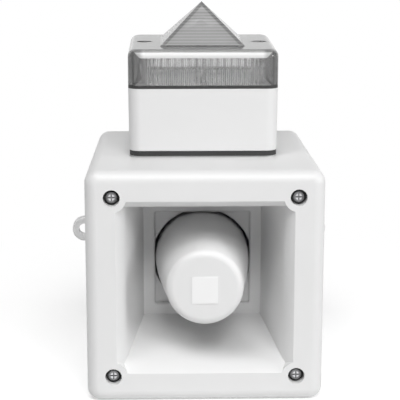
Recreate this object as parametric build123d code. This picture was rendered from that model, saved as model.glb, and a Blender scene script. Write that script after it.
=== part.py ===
from build123d import *
import math
import os

# Alarm sounder with a beacon on top.
# Millimetres, +Z up. The origin is the centre of the flat back that goes against the wall,
# level with the horn's axis. The front faces -Y. A depth is counted from the front face backwards.

# Housing
face_width = 166.5
housing_depth = 180.0
side_draft = 0.86
corner_radius = 9.0
front_rounding = 8.0
back_rounding = 7.0
housing_wall = 3.5
seam_depth = 12.0
least_corner = 1.5

# Joint between the front and the housing: groove, seal and tongue
groove_inset = 3.0
groove_width = 3.2
groove_depth = 4.5
groove_lip = 2.6
rim_length = 8.0
seal_height = 2.5
seal_gap = 0.1
tongue_gap = 0.3

# Front screws, M4 pan heads in round recesses
screw_inset = 18.75
recess_radius = 5.85
recess_depth = 7.0
boss_radius = 10.2
washer_thickness = 1.0
washer_radius = 4.6
column_radius = 6.5
column_length = 38.0
web_thickness = 3.0
insert_radius = 2.9
insert_length = 8.0

# Metric screws: shank radius, hole radius, head radius, head height
m4_shank = 2.0
m4_hole = 2.25
m4_head = 4.0
m4_head_height = 2.6
m3_shank = 1.5
m3_hole = 1.7
m3_head = 2.75
m3_head_height = 2.0
thread_gap = 0.05
cross_width = 0.9
cross_depth = 1.4
cross_share = 1.3
head_edge = 1.0
head_edge_share = 0.45
screw_tail = 2.0
hole_end_gap = 1.0

# Fixing lugs
lug_reach = 9.95
lug_radius = 9.8
lug_hole_radius = 4.7
lug_thickness = 7.0
lug_edge = 1.0

# Cable entries in the side walls, for an M20 gland
entry_radius = 10.25
entry_pad_radius = 15.0
entry_face_inset = 1.25
entry_length = 8.0
entry_from_back = 42.0
entry_height = -30.0
plug_gap = 0.25
plug_head_radius = 13.0
plug_head_height = 4.0
plug_seal_thickness = 1.5
plug_locknut_radius = 14.0
plug_locknut_thickness = 5.0
plug_tail = 2.0
plug_slot_width = 2.5

# Horn
bezel_width = 21.05
lip_depth = 15.0
lip_step = 6.9
end_ledge = 8.7
flare_skin = 3.0
front_plate = 3.5
end_wall = 4.0
end_plate_border = 14.0
opening_inset = 2.0
opening_edge = 1.8
flange_corner = 6.0

# Bowl behind the flare
bowl_gap = 2.3
bowl_flange = 4.0
bowl_wall = 3.0
bowl_length = 36.0
bowl_screw_inset = 6.5
bowl_boss_radius = 5.0
bowl_boss_length = 12.0
bowl_screw_bite = 10.0
bowl_seal_offset = 2.7
bowl_seal_section = 2.6
bowl_groove_gap = 0.2
bowl_seal_height = 2.0

# Cup in the middle of the horn
cup_front_depth = 1.0
cup_front_radius = 27.2
cup_front_rounding = 5.3
cup_widest_radius = 34.6
cup_widest_lead = 4.0
cup_reach = 10.0
cup_back_radius = 35.0
cup_wall = 2.4
cup_deflector_radius = 9.0
cup_deflector_height = 10.0
label_width = 18.0
label_height = 19.3
label_thickness = 0.4
label_drop = 1.4

# Throat tube, with the fins that carry the cup
throat_radius = 10.0
tube_wall = 3.0
tube_mouth_gap = 14.6
tube_flange = 9.0
tube_flange_thickness = 3.0
tube_gap = 0.1
fin_count = 3
fin_start = 90.0
fin_thickness = 2.4
fin_lead = 8.0
fin_length = 34.0

# Driver
driver_gasket_thickness = 1.0
driver_radius = 38.0
cover_thickness = 8.5
cover_rim = 7.0
dome_radius = 19.6
dome_rise = 6.0
dome_clearance = 1.2
diaphragm_thickness = 0.5
coil_thickness = 0.6
coil_length = 9.0
coil_gap = 0.4
ring_thickness = 3.0
top_plate_thickness = 5.0
magnet_thickness = 13.0
magnet_gap = 4.4
back_plate_thickness = 5.0
driver_ear_count = 4
driver_ear_start = 45.0
driver_ear_offset = 6.0
driver_ear_radius = 6.0
driver_ear_thickness = 6.0
driver_post_radius = 5.0
driver_screw_length = 16.0
cover_screw_inset = 4.0
cover_screw_count = 3
cover_screw_start = 90.0
tag_length = 12.0
tag_width = 5.0
tag_thickness = 0.8
tag_board_size = (22.0, 2.0, 10.0)
driver_back_room = 15.5

# Sounder board on the housing's floor
board_thickness = 1.6
board_side_room = 25.25
board_floor_room = 11.75
board_front_room = 7.0
board_back_room = 7.5
board_inset = 5.0
pillar_radius = 4.0
pillar_height = 7.5
board_screw_length = 7.0
core_size = (30.0, 12.0, 20.0)
core_leg = 7.0
core_yoke = 4.0
core_from_back = 23.0
core_from_side = 24.0
winding_gap = 0.2
capacitor_radius = 6.3
capacitor_length = 18.0
capacitor_edge = 1.0
capacitor_from_side = 10.0
capacitor_from_back = 19.0
capacitor_pitch = 14.0
terminal_count = 8
terminal_pitch = 5.08
terminal_size = (11.0, 13.0)
terminal_from_front = 11.0
terminal_from_side = 38.0
terminal_hole = 3.4
terminal_screw_radius = 1.8
terminal_screw_length = 5.0

# Tone switch: a row of small sliders
slider_count = 5
slider_pitch = 2.54
slider_width = 1.0
slider_length = 1.4
slider_travel = 1.8
slider_gap = 0.1
slider_rise = 0.6
slider_sink = 2.0
switch_length = 9.5
switch_end = 1.6
switch_height = 5.5
switch_from_side = 38.0
switch_from_front = 13.0

# Volume control
volume_size = 9.5
volume_height = 4.8
volume_radius = 3.2
volume_gap = 0.08
volume_sink = 3.0
volume_rise = 0.6
volume_slot = 0.9
volume_from_side = 18.0
volume_from_front = 13.0

# Beacon
beacon_from_wall = 73.5
plinth_inset = 1.3
plinth_rise = 0.35
plinth_corner = 7.0
gasket_thickness = 3.6
gasket_inset = 0.3
base_bottom_width = 106.6
base_spread = 0.4
base_height = 45.1
base_corner = 8.5
base_wall = 3.0
base_floor = 3.5
base_edge = 0.6
beacon_screw_inset = 9.3
beacon_boss_radius = 6.0
beacon_boss_length = 9.1
nut_width = 7.0
nut_height = 3.2
wire_hole_radius = 10.0

# Beacon board and what it carries
beacon_board_side_gap = 2.0
beacon_board_end_gap = 6.3
beacon_board_rise = 16.3
beacon_board_insets = (5.0, 6.0)
flash_capacitor_radius = 7.0
flash_capacitor_length = 26.0
flash_capacitor_insets = (15.0, 18.0)
trigger_coil_radius = 4.0
trigger_coil_height = 11.0
trigger_coil_insets = (15.0, 20.0)
inverter_size = (18.0, 16.0, 14.0)
inverter_insets = (15.0, 20.0)
beacon_terminal_size = (16.0, 10.0, 11.0)
beacon_terminal_insets = (15.0, 16.0)

# Reflector plate, tube and its holder
plate_thickness = 1.5
plate_drop = 2.8
plate_gap = 0.6
rib_width = 10.0
rib_thickness = 2.0
rib_pitch = 50.0
holder_radius = 4.4
holder_gap = 0.4
holder_rise = 4.0
tube_radius = 2.0
tube_leg_offset = 2.3
tube_rise = 10.0
tube_socket = 8.0

# Lens
lens_seal_thickness = 2.1
lens_overhang = 0.1
lens_height = 25.6
lens_corner = 9.0
lens_wall = 2.8
lens_top_thickness = 3.0
lens_rounding = 5.5
flute_pitch = 3.0
flute_radius = 1.0
flute_count = 27
lens_screw_inset = 11.3
well_radius = 5.5
well_wall = 1.8
well_depth = 16.0
lens_pillar_radius = 5.5
lens_screw_bite = 7.0
lens_insert_radius = 2.9
lens_insert_length = 8.0
pyramid_width = 61.5
pyramid_height = 29.7
pyramid_tip = 4.0
pyramid_wall = 3.0
pyramid_steps = 15


# Places worked out from the sizes above

front_half = face_width / 2
screw_pitch = face_width - 2 * screw_inset
lug_pitch = face_width + 2 * lug_reach
entry_outer_face = front_half - entry_face_inset
entry_depth = housing_depth - entry_from_back
rim_width = groove_inset + groove_width + groove_lip

# The horn's depths follow from the driver, which stands off the housing's back
driver_stack = (driver_gasket_thickness + cover_thickness + diaphragm_thickness + ring_thickness
                + top_plate_thickness + magnet_thickness + back_plate_thickness)
bowl_back_depth = housing_depth - housing_wall - driver_back_room - driver_stack - tube_flange_thickness
flange_depth = bowl_back_depth - bowl_length
flare_depth = flange_depth - end_wall
bowl_hole_radius = cup_back_radius + bowl_gap
end_opening_width = 2 * (bowl_hole_radius - opening_inset)
flare_end_width = end_opening_width + 2 * end_ledge
end_plate_width = flare_end_width + 2 * end_plate_border
bowl_screw_pitch = end_plate_width - 2 * bowl_screw_inset
bowl_seal_width = 2 * (bowl_hole_radius + bowl_seal_offset)
mouth_width = face_width - 2 * bezel_width
lip_width = mouth_width - 2 * lip_step
cup_widest_depth = flare_depth - cup_widest_lead
cup_back_depth = flange_depth + cup_reach
tube_front_depth = cup_front_depth + cup_wall + cup_deflector_height + tube_mouth_gap
tube_outer = throat_radius + tube_wall
tube_flange_radius = tube_outer + tube_flange
fin_back_depth = flare_depth - fin_lead
fin_front_depth = fin_back_depth - fin_length
magnet_hole_radius = dome_radius + magnet_gap
driver_ear_reach = driver_radius + driver_ear_offset
cover_screw_reach = driver_radius - cover_screw_inset
driver_depth = bowl_back_depth + tube_flange_thickness + driver_gasket_thickness
diaphragm_depth = driver_depth + cover_thickness
ring_depth = diaphragm_depth + diaphragm_thickness
top_plate_depth = ring_depth + ring_thickness
magnet_depth = top_plate_depth + top_plate_thickness
back_plate_depth = magnet_depth + magnet_thickness
driver_back_depth = back_plate_depth + back_plate_thickness

# The sounder board, and what stands on it at distances from its own edges
board_width = face_width - 2 * board_side_room
board_front_depth = flange_depth + board_front_room
board_back_depth = housing_depth - housing_wall - board_back_room
board_length = board_back_depth - board_front_depth
board_height = board_floor_room - front_half
board_top = board_height + board_thickness
pillar_foot = board_height - pillar_height
core_depth = board_back_depth - core_from_back
core_offset = core_from_side - board_width / 2
capacitor_place = (board_width / 2 - capacitor_from_side, board_back_depth - capacitor_from_back)
terminal_depth = board_front_depth + terminal_from_front
terminal_offset = terminal_from_side - board_width / 2
switch_place = (board_width / 2 - switch_from_side, board_front_depth + switch_from_front)
volume_place = (board_width / 2 - volume_from_side, board_front_depth + volume_from_front)

# The beacon, from its plinth up
axis_y = -beacon_from_wall
plinth_width = base_bottom_width - 2 * plinth_inset
plinth_top = front_half + plinth_rise
gasket_width = base_bottom_width - 2 * gasket_inset
gasket_top = plinth_top + gasket_thickness
base_top_width = base_bottom_width + 2 * base_spread
base_top = gasket_top + base_height
base_floor_top = gasket_top + base_floor
beacon_screw_pitch = base_bottom_width - 2 * beacon_screw_inset
beacon_boss_face = plinth_top - beacon_boss_length
plate_top = base_top - plate_drop
lens_bottom = base_top + lens_seal_thickness
lens_top = lens_bottom + lens_height
lens_width = base_top_width + 2 * lens_overhang
lens_screw_pitch = lens_width - 2 * lens_screw_inset
pyramid_top = lens_top + pyramid_height
tube_top = lens_top + tube_rise

# The beacon's board between the lens's pillars, and what stands on it at distances from its sides
beacon_board_width = lens_screw_pitch - 2 * lens_pillar_radius - 2 * beacon_board_side_gap
beacon_board_length = base_bottom_width - 2 * base_wall - 2 * beacon_board_end_gap
beacon_board_bottom = base_floor_top + beacon_board_rise
beacon_board_top = beacon_board_bottom + board_thickness
beacon_board_holes = (beacon_board_width - 2 * beacon_board_insets[0],
                      beacon_board_length - 2 * beacon_board_insets[1])
flash_capacitor_place = (flash_capacitor_insets[0] - beacon_board_width / 2,
                         beacon_board_length / 2 - flash_capacitor_insets[1])
trigger_coil_place = (beacon_board_width / 2 - trigger_coil_insets[0],
                      beacon_board_length / 2 - trigger_coil_insets[1])
inverter_place = (beacon_board_width / 2 - inverter_insets[0],
                  inverter_insets[1] - beacon_board_length / 2)
beacon_terminal_place = (beacon_terminal_insets[0] - beacon_board_width / 2,
                         beacon_terminal_insets[1] - beacon_board_length / 2)


# Helpers

def y_at(depth):
    """The Y of a depth behind the front face."""
    return depth - housing_depth


def half_at(depth):
    """Half the housing's width at a depth."""
    return face_width / 2 - depth * math.tan(math.radians(side_draft))


def face_plane(depth):
    """The plane across the housing at a depth, looked at from the front, with +Z up."""
    return Plane(origin=(0, y_at(depth), 0), x_dir=(1, 0, 0), z_dir=(0, -1, 0))


def across(sketch, front, back):
    """The solid that has the sketch as its section from one depth to another."""
    return extrude(face_plane(back) * sketch, amount=back - front)


def rod(radius, front, back, x=0.0, z=0.0):
    """A round bar along Y between two depths."""
    return across(Pos(x, z) * Circle(radius), front, back)


def tall(sketch, low, high):
    """The solid that has the sketch as its plan from one height to another."""
    return extrude(Pos(0, 0, low) * sketch, amount=high - low)


def post(radius, low, high, x, y):
    """A round bar along Z between two heights."""
    return tall(Pos(x, y) * Circle(radius), low, high)


def block(x_span, y_span, z_span):
    """A box between three pairs of values."""
    sizes = [high - low for low, high in (x_span, y_span, z_span)]
    middle = [(high + low) / 2 for low, high in (x_span, y_span, z_span)]
    return Pos(*middle) * Box(*sizes)


def centred(middle, size):
    """The pair of values a size apart about a middle."""
    return (middle - size / 2, middle + size / 2)


def signs():
    """The four corners of a square, as pairs of signs."""
    return [(x, z) for x in (-1, 1) for z in (-1, 1)]


def corners(pitch):
    """The four corners of a square pattern."""
    return [(x * pitch / 2, z * pitch / 2) for x, z in signs()]


def ring_places(count, reach, start):
    """Places round the horn's axis."""
    turns = [math.radians(start + index * 360 / count) for index in range(count)]
    return [(reach * math.cos(turn), reach * math.sin(turn)) for turn in turns]


def rounded(width, radius):
    """A square with rounded corners."""
    return RectangleRounded(width, width, max(radius, least_corner))


def inset_square(depth, inset):
    """The housing's outline at a depth, taken inwards by the inset."""
    return rounded(2 * (half_at(depth) - inset), corner_radius - inset)


def tapered(front, back, inset):
    """The housing's block between two depths, taken inwards by the inset."""
    sections = [face_plane(depth) * inset_square(depth, inset) for depth in (front, back)]
    return loft(sections)


def turned(*outline):
    """The solid of revolution about the horn's axis, from lines in radius and Y."""
    return revolve(make_face(Curve() + list(outline)), axis=Axis.Y)


def turned_points(*points):
    """The solid of revolution about the horn's axis, from corners in radius and depth."""
    corners_in_y = [(radius, y_at(depth)) for radius, depth in points]
    return turned(Polyline(*corners_in_y, close=True))


def together(solids):
    """Separate solids as one shape, or overlapping ones as one solid."""
    return Part() + list(solids)


def screw(shank, head, head_height, length):
    """A pan-head screw along Z, with its head's underside at the origin and its shank below."""
    cap = Pos(0, 0, head_height / 2) * Cylinder(head, head_height)
    cap = fillet(cap.edges().group_by(Axis.Z)[-1], min(head_edge, head_edge_share * head_height))
    body = cap + Pos(0, 0, -length / 2) * Cylinder(shank, length)
    span = cross_share * head
    slot = Box(span, cross_width, 2 * cross_depth) + Box(cross_width, span, 2 * cross_depth)
    return body - Pos(0, 0, head_height) * slot


def facing_front(shape):
    """Turns a shape drawn with its top along +Z so that its top looks to the front."""
    return Rot(90, 0, 0) * shape


def facing_back(shape):
    """Turns a shape drawn with its top along +Z so that its top looks to the back."""
    return Rot(-90, 0, 0) * shape


def m4_screw(length):
    return screw(m4_shank, m4_head, m4_head_height, length)


def m3_screw(length):
    return screw(m3_shank, m3_head, m3_head_height, length)


# Housing

def outer_body():
    """The whole moulded outline, front and housing together, with its edges rounded."""
    body = tapered(0, housing_depth, 0)
    body = fillet(body.faces().sort_by(Axis.Y)[0].edges(), front_rounding)
    return fillet(body.faces().sort_by(Axis.Y)[-1].edges(), back_rounding)


def slab(front, back):
    """A block wider than the housing, to part it at a depth."""
    reach = 2 * face_width
    return block((-reach, reach), (y_at(front), y_at(back)), (-reach, reach))


def groove_ring(front, back, gap):
    """The square ring that fills the seal's groove, less a gap on each side."""
    outer = inset_square(seam_depth, groove_inset + gap)
    inner = inset_square(seam_depth, groove_inset + groove_width - gap)
    return across(outer - inner, front, back)


def lug(side):
    """One fixing ear at the back, with its round end and hole."""
    reach = side * lug_pitch / 2
    front = housing_depth - lug_thickness
    root = side * (half_at(housing_depth) - housing_wall)
    strip = Pos((reach + root) / 2, 0) * Rectangle(abs(reach - root), 2 * lug_radius)
    ear = across(strip + Pos(reach, 0) * Circle(lug_radius), front, housing_depth)
    outer_edges = ear.faces().sort_by(Axis.Y)[0].edges().filter_by(GeomType.CIRCLE)
    return fillet(outer_edges, lug_edge)


def screw_column(x, z):
    """A column for a front screw, tied to the two walls beside it."""
    back = seam_depth + column_length
    reach = half_at(back) - housing_wall / 2
    side_x = math.copysign(reach, x)
    side_z = math.copysign(reach, z)
    web_x = block(sorted((x, side_x)), (y_at(seam_depth), y_at(back)), centred(z, web_thickness))
    web_z = block(centred(x, web_thickness), (y_at(seam_depth), y_at(back)), sorted((z, side_z)))
    return rod(column_radius, seam_depth, back, x, z) + web_x + web_z


def entry_pad(side):
    """The flat round pad of a cable entry."""
    outer = side * entry_outer_face
    inner = side * (entry_outer_face - entry_length)
    pad = Pos((outer + inner) / 2, y_at(entry_depth), entry_height) * Rot(0, 90, 0)
    return pad * Cylinder(entry_pad_radius, entry_length)


def entry_bore(side):
    """The round hole of a cable entry."""
    middle = side * (entry_outer_face - entry_length / 2)
    place = Pos(middle, y_at(entry_depth), entry_height) * Rot(0, 90, 0)
    return place * Cylinder(entry_radius, 2 * entry_length)


def board_places():
    """The sounder board's screws, as pairs of X and Y."""
    middle = y_at(board_front_depth + board_length / 2)
    return [(x * (board_width / 2 - board_inset), middle + y * (board_length / 2 - board_inset))
            for x, y in signs()]


def beacon_places(pitch_x, pitch_y):
    """A rectangular pattern about the beacon's centre, as pairs of X and Y."""
    return [(x * pitch_x / 2, axis_y + y * pitch_y / 2) for x, y in signs()]


def rear_housing():
    cavity_front = seam_depth + rim_length
    cavity = tapered(cavity_front, housing_depth - housing_wall, housing_wall)
    back_edges = cavity.faces().sort_by(Axis.Y)[-1].edges()
    cavity = fillet(back_edges, back_rounding - housing_wall)
    mouth = across(inset_square(seam_depth, rim_width), seam_depth - 1, cavity_front)
    shell = outer_body() & slab(seam_depth, housing_depth + 1)
    plinth_foot = half_at(housing_depth) - 1
    plinth = tall(Pos(0, axis_y) * rounded(plinth_width, plinth_corner), plinth_foot, plinth_top)
    shell = shell + plinth - cavity - mouth
    added = [screw_column(x, z) for x, z in corners(screw_pitch)]
    added += [lug(side) for side in (-1, 1)]
    added += [entry_pad(side) for side in (-1, 1)]
    added += [post(pillar_radius, pillar_foot, board_height, x, y) for x, y in board_places()]
    added += [post(beacon_boss_radius, beacon_boss_face, plinth_top - 1, x, y)
              for x, y in beacon_places(beacon_screw_pitch, beacon_screw_pitch)]
    cut = [groove_ring(seam_depth - 1, seam_depth + groove_depth, 0)]
    cut += [rod(insert_radius, seam_depth - 1, seam_depth + insert_length, x, z)
            for x, z in corners(screw_pitch)]
    cut += [rod(m4_hole, seam_depth, seam_depth + column_length - housing_wall, x, z)
            for x, z in corners(screw_pitch)]
    cut += [rod(lug_hole_radius, housing_depth - 2 * lug_thickness, housing_depth + 1, side * lug_pitch / 2)
            for side in (-1, 1)]
    cut += [entry_bore(side) for side in (-1, 1)]
    cut += [post(m3_shank + thread_gap, board_height - board_screw_length, board_height + 1, x, y)
            for x, y in board_places()]
    cut += [post(m4_hole, beacon_boss_face - 1, plinth_top + 1, x, y)
            for x, y in beacon_places(beacon_screw_pitch, beacon_screw_pitch)]
    cut.append(post(wire_hole_radius, beacon_boss_face - 1, plinth_top + 1, 0, axis_y))
    return shell + added - cut


def housing_seal():
    bottom = seam_depth + groove_depth
    return groove_ring(bottom - seal_height, bottom, seal_gap)


def housing_inserts():
    front = seam_depth
    tube = [rod(insert_radius, front, front + insert_length, x, z)
            - rod(m4_shank + thread_gap, front - 1, front + insert_length + 1, x, z)
            for x, z in corners(screw_pitch)]
    return together(tube)


def front_screws():
    seat = recess_depth - washer_thickness
    length = seam_depth + insert_length + screw_tail - seat
    one = facing_front(m4_screw(length))
    return together(Pos(x, y_at(seat), z) * one for x, z in corners(screw_pitch))


def screw_seals():
    front = recess_depth - washer_thickness
    return together(rod(washer_radius, front, recess_depth, x, z)
                    - rod(m4_shank + thread_gap, front - 1, recess_depth + 1, x, z)
                    for x, z in corners(screw_pitch))


def blanking_plug():
    """Drawn along X on the left side, with its slotted head outside."""
    face = entry_outer_face + plug_seal_thickness
    length = plug_seal_thickness + entry_length + plug_locknut_thickness + plug_tail
    head = Pos(face + plug_head_height / 2, 0, 0) * Rot(0, 90, 0) * Cylinder(plug_head_radius, plug_head_height)
    head = fillet(head.edges().group_by(Axis.X)[-1], head_edge)
    shank = Pos(face - length / 2, 0, 0) * Rot(0, 90, 0) * Cylinder(entry_radius - plug_gap, length)
    slot = Pos(face + plug_head_height, 0, 0) * Box(plug_head_height, 2 * plug_head_radius, plug_slot_width)
    return Pos(0, y_at(entry_depth), entry_height) * mirror(head + shank - slot, Plane.YZ)


def plug_seal():
    ring = Cylinder(plug_head_radius, plug_seal_thickness) - Cylinder(entry_radius, 2 * plug_seal_thickness)
    middle = -(entry_outer_face + plug_seal_thickness / 2)
    return Pos(middle, y_at(entry_depth), entry_height) * Rot(0, 90, 0) * ring


def plug_locknut():
    nut = extrude(RegularPolygon(plug_locknut_radius, 6), amount=plug_locknut_thickness / 2, both=True)
    nut = nut - Cylinder(entry_radius - plug_gap + thread_gap, 2 * plug_locknut_thickness)
    middle = -(entry_outer_face - entry_length - plug_locknut_thickness / 2)
    return Pos(middle, y_at(entry_depth), entry_height) * Rot(0, 90, 0) * nut


# Horn

def flare_block(widening):
    """The space inside the flare, or with a widening its outer skin, with curved walls."""
    front = -1
    back = flange_depth + 1
    mouth = mouth_width / 2 + widening
    lip = lip_width / 2 + widening
    end = flare_end_width / 2 + widening
    slope = (lip_width - flare_end_width) / 2 / (flare_depth - lip_depth)
    curve = TangentArc((lip, y_at(lip_depth)), (mouth, y_at(0)), tangent=(slope, -1))
    wall = Line((lip, y_at(lip_depth)), (end, y_at(flare_depth)))
    rest = Polyline((end, y_at(flare_depth)), (end, y_at(back)), (0, y_at(back)), (0, y_at(front)),
                    (mouth, y_at(front)), (mouth, y_at(0)))
    half = make_face(Curve() + [curve, wall, rest])
    whole = half + mirror(half, Plane.YZ)
    upright = extrude(whole, amount=mouth_width, both=True)
    return upright & (Rot(0, 90, 0) * upright)


def front_horn():
    body = outer_body() & slab(-1, seam_depth)
    pocket = across(inset_square(seam_depth, rim_width), front_plate, seam_depth + 1)
    body = body - pocket
    skin = flare_block(flare_skin) & slab(1, flange_depth)
    body = body + skin
    body = body + [rod(boss_radius, front_plate / 2, seam_depth, x, z) for x, z in corners(screw_pitch)]
    body = body + across(rounded(end_plate_width, flange_corner), flare_depth, flange_depth)
    body = body + [rod(bowl_boss_radius, flare_depth - bowl_boss_length, flare_depth, x, z)
                   for x, z in corners(bowl_screw_pitch)]
    space = flare_block(0) & slab(-1, flare_depth)
    solid_corners = [rod(boss_radius, 0, seam_depth, x, z) for x, z in corners(screw_pitch)]
    body = body - (space - solid_corners)
    opening = across(rounded(end_opening_width, least_corner), flare_depth - 1, flange_depth + 1)
    body = body - opening
    near = [edge for edge in body.edges()
            if abs(edge.center().Y - y_at(flare_depth)) < 0.01
            and max(abs(edge.center().X), abs(edge.center().Z)) < end_opening_width / 2 + 0.1]
    body = fillet(near, opening_edge)
    body = body + groove_ring(seam_depth - 1, seam_depth + groove_depth - seal_height, tongue_gap)
    cut = [rod(recess_radius, -1, recess_depth, x, z) for x, z in corners(screw_pitch)]
    cut += [rod(m4_hole, 0, seam_depth + 1, x, z) for x, z in corners(screw_pitch)]
    cut += [rod(m3_shank + thread_gap, flange_depth - bowl_screw_bite, flange_depth + 1, x, z)
            for x, z in corners(bowl_screw_pitch)]
    return body - cut


def bowl_groove(gap):
    """The square ring of the bowl's seal, less a gap on each side."""
    outer = rounded(bowl_seal_width + bowl_seal_section - 2 * gap, flange_corner)
    inner = rounded(bowl_seal_width - bowl_seal_section + 2 * gap, flange_corner - bowl_seal_section)
    return across(outer - inner, flange_depth, flange_depth + bowl_seal_height)


def bowl_form(widening, front):
    """A straight round wall that bends into a flat bottom: the bowl's space, or with a widening its outside."""
    bend = (bowl_hole_radius - tube_outer) / 2
    middle = bowl_hole_radius - bend
    start = bowl_back_depth - bowl_wall - bend
    radius = bowl_hole_radius + widening
    deepest = start + bend + widening
    side = Line((radius, y_at(front)), (radius, y_at(start)))
    trough = TangentArc((radius, y_at(start)), (middle, y_at(deepest)), tangent=(0, 1))
    floor = Polyline((middle, y_at(deepest)), (0, y_at(deepest)), (0, y_at(front)), (radius, y_at(front)))
    return turned(side, trough, floor)


def driver_places():
    return ring_places(driver_ear_count, driver_ear_reach, driver_ear_start)


def horn_bowl():
    flange = across(rounded(end_plate_width, flange_corner), flange_depth, flange_depth + bowl_flange)
    posts = [rod(driver_post_radius, flange_depth + 1, driver_depth, x, z) for x, z in driver_places()]
    bowl = bowl_form(bowl_wall, flange_depth) + flange + posts - bowl_form(0, flange_depth - 1)
    cut = [bowl_groove(0)]
    cut.append(rod(tube_outer + tube_gap, flange_depth, bowl_back_depth + 1))
    cut += [rod(m3_hole, flange_depth - 1, flange_depth + bowl_flange + 1, x, z)
            for x, z in corners(bowl_screw_pitch)]
    cut += [rod(m4_shank + thread_gap, driver_depth - driver_screw_length, driver_depth + 1, x, z)
            for x, z in driver_places()]
    return bowl - cut


def bowl_seal():
    return bowl_groove(bowl_groove_gap)


def bowl_screws():
    head_face = flange_depth + bowl_flange
    one = facing_back(m3_screw(bowl_flange + bowl_screw_bite - hole_end_gap))
    return together(Pos(x, y_at(head_face), z) * one for x, z in corners(bowl_screw_pitch))


def cup_outline(shrink, front):
    """The cup's outline as a solid of revolution, taken inwards by the shrink."""
    rounding = cup_front_rounding
    edge_radius = cup_front_radius - shrink
    corner_start = max(edge_radius - rounding, 1.0)
    corner_end = front + rounding
    slope = (cup_widest_radius - cup_front_radius) / (cup_widest_depth - cup_front_depth - rounding)
    face = Line((0, y_at(front)), (corner_start, y_at(front)))
    corner = ThreePointArc((corner_start, y_at(front)),
                           (corner_start + (edge_radius - corner_start) * math.sin(math.pi / 4),
                            y_at(front + rounding * (1 - math.cos(math.pi / 4)))),
                           (edge_radius, y_at(corner_end)))
    side = Spline((edge_radius, y_at(corner_end)), (cup_widest_radius - shrink, y_at(cup_widest_depth)),
                  (cup_back_radius - shrink, y_at(cup_back_depth)),
                  tangents=[(slope, 1), (0, 1)])
    back = Polyline((cup_back_radius - shrink, y_at(cup_back_depth)), (0, y_at(cup_back_depth)), (0, y_at(front)))
    return turned(face, corner, side, back)


def horn_cup():
    inside_front = cup_front_depth + cup_wall
    cup = cup_outline(0, cup_front_depth) - cup_outline(cup_wall, inside_front)
    deflector = turned_points((0, inside_front - 1), (cup_deflector_radius, inside_front - 1),
                              (cup_deflector_radius, inside_front),
                              (1, inside_front + cup_deflector_height), (0, inside_front + cup_deflector_height))
    return cup + deflector


def throat_tube():
    tube = rod(tube_outer, tube_front_depth, bowl_back_depth + 1)
    tube = tube + rod(tube_flange_radius, bowl_back_depth, bowl_back_depth + tube_flange_thickness)
    fins = []
    for index in range(fin_count):
        turn = fin_start + index * 360 / fin_count
        fin = block((0, 2 * cup_back_radius), (y_at(fin_front_depth), y_at(fin_back_depth)),
                    centred(0, fin_thickness))
        fins.append(Rot(0, turn, 0) * fin)
    reach = cup_outline(cup_wall + tube_gap, cup_front_depth + cup_wall)
    tube = tube + (together(fins) & reach)
    return tube - rod(throat_radius, 0, housing_depth)


def label_plate():
    label = Pos(0, -label_drop) * Rectangle(label_width, label_height)
    return across(label, cup_front_depth - label_thickness, cup_front_depth)


# Driver

def driver_gasket():
    front = bowl_back_depth + tube_flange_thickness
    ring = Circle(tube_flange_radius) - Circle(throat_radius + 1)
    return across(ring, front, driver_depth)


def dome(radius, rise, base):
    """A part of a ball, round about the horn's axis, that bulges to the front."""
    ball = (radius ** 2 + rise ** 2) / (2 * rise)
    half_way = base + ball - rise - math.sqrt(ball ** 2 - (radius / 2) ** 2)
    arc = ThreePointArc((radius, y_at(base)), (radius / 2, y_at(half_way)), (0, y_at(base - rise)))
    rest = Polyline((0, y_at(base - rise)), (0, y_at(base)), (radius, y_at(base)))
    return turned(arc, rest)


def cover_screw_places():
    return ring_places(cover_screw_count, cover_screw_reach, cover_screw_start)


def driver_cover():
    cover = rod(driver_radius, driver_depth, diaphragm_depth)
    ear_back = driver_depth + driver_ear_thickness
    for x, z in driver_places():
        arm = Rot(0, 0, math.degrees(math.atan2(z, x))) * Pos(driver_ear_reach / 2, 0)
        strip = arm * Rectangle(driver_ear_reach, 2 * driver_ear_radius) + Pos(x, z) * Circle(driver_ear_radius)
        cover = cover + across(strip, driver_depth, ear_back)
    cavity = dome(dome_radius + cover_rim, dome_rise + dome_clearance, diaphragm_depth)
    cut = [cavity, rod(throat_radius, driver_depth - 1, diaphragm_depth + 1)]
    cut += [rod(m4_hole, driver_depth - 1, ear_back + 1, x, z) for x, z in driver_places()]
    cut += [rod(m3_hole, driver_depth - 1, diaphragm_depth + 1, x, z) for x, z in cover_screw_places()]
    cut += [rod(m3_head + seal_gap, driver_depth - 1, driver_depth + m3_head_height, x, z)
            for x, z in cover_screw_places()]
    return cover - cut


def driver_screws():
    head_face = driver_depth + driver_ear_thickness
    one = facing_back(m4_screw(driver_ear_thickness + driver_screw_length - 2 * hole_end_gap))
    return together(Pos(x, y_at(head_face), z) * one for x, z in driver_places())


def cover_screws():
    seat = driver_depth + m3_head_height
    length = magnet_depth - hole_end_gap - seat
    one = facing_front(m3_screw(length))
    return together(Pos(x, y_at(seat), z) * one for x, z in cover_screw_places())


def rim_radius():
    """The outer edge of the diaphragm's flat rim."""
    return cover_screw_reach - m3_head - 1


def diaphragm():
    hollow_radius = dome_radius - diaphragm_thickness
    hollow = dome(hollow_radius, dome_rise - diaphragm_thickness, ring_depth)
    sheet = rod(rim_radius(), diaphragm_depth, ring_depth) + dome(dome_radius, dome_rise, ring_depth)
    return sheet - hollow


def coil_outer():
    return dome_radius - diaphragm_thickness


def voice_coil():
    ring = Circle(coil_outer()) - Circle(coil_outer() - coil_thickness)
    return across(ring, ring_depth, ring_depth + coil_length)


def clamp_ring():
    inner = dome_radius + cover_rim
    ring = rod(driver_radius, ring_depth, top_plate_depth) - rod(inner, 0, housing_depth)
    return ring - [rod(m3_hole, ring_depth - 1, top_plate_depth + 1, x, z) for x, z in cover_screw_places()]


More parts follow.
